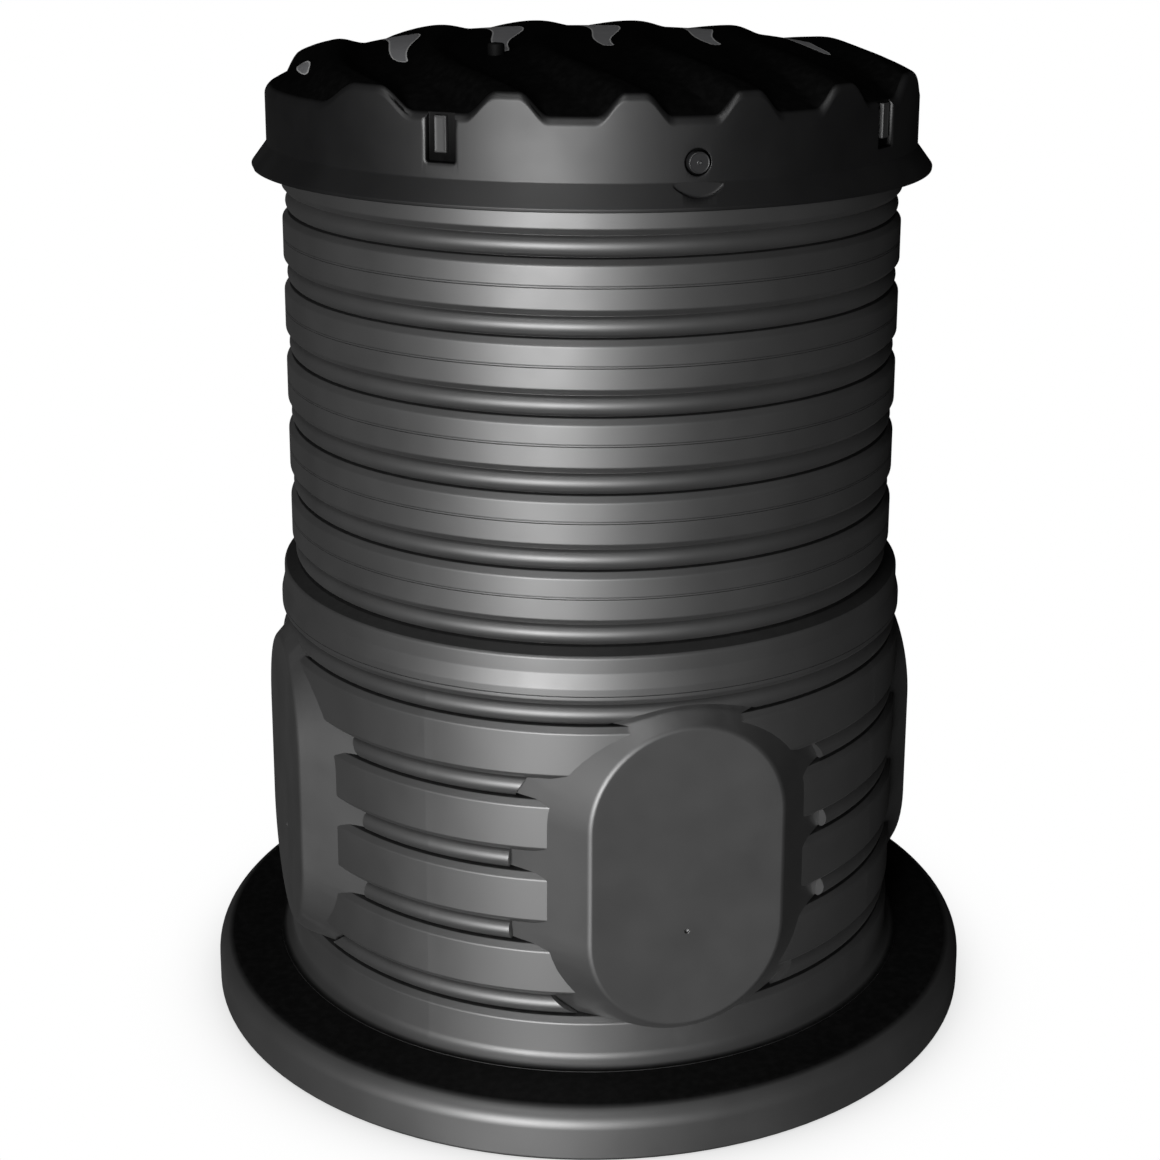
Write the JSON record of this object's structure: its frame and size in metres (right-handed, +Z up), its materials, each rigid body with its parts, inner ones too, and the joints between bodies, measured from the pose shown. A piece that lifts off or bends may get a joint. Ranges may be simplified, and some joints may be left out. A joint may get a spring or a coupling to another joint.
{
  "type": "underground water tank with ribbed access neck and lift-off lid",
  "caption": "Black moulded underground water tank: ribbed neck on a wider chamber with flat pipe pads, broad anchoring foot, wave-ridged lift-off lid.",
  "frame": {"origin": "middle of the foot's underside, on the ground the tank stands on", "axes": "+Z up, -Y out of the front connection pad, +X out of the right connection pad"},
  "size_m": [0.88, 0.88, 1.0992],
  "materials": {
    "tank_plastic": "satin",
    "lid_plastic": "satin",
    "fitting_plastic": "satin",
    "seal_rubber": "matte"
  },
  "bodies": {
    "tank": {"tank_floor": "tank_plastic", "foot_ring": "tank_plastic", "chamber_wall_front": "tank_plastic", "chamber_wall_right": "tank_plastic", "chamber_wall_back": "tank_plastic", "chamber_wall_left": "tank_plastic", "shoulder_ring": "tank_plastic", "neck_ring_1": "tank_plastic", "neck_ring_2": "tank_plastic", "neck_ring_3": "tank_plastic", "neck_ring_4": "tank_plastic", "neck_rim": "tank_plastic", "neck_seal": "seal_rubber"},
    "lid": {"lid_skirt": "lid_plastic", "lid_top": "lid_plastic", "lid_latch_1": "fitting_plastic", "lid_latch_2": "fitting_plastic", "lid_latch_3": "fitting_plastic", "lid_latch_4": "fitting_plastic", "lid_lock_1": "fitting_plastic", "lid_lock_2": "fitting_plastic", "lid_vent": "fitting_plastic"}
  },
  "joints": [
    {"name": "lid_lift", "type": "slide", "parent": "tank", "child": "lid", "axis": [0, 0, 1], "range_m": [0, 0.3]}
  ]
}
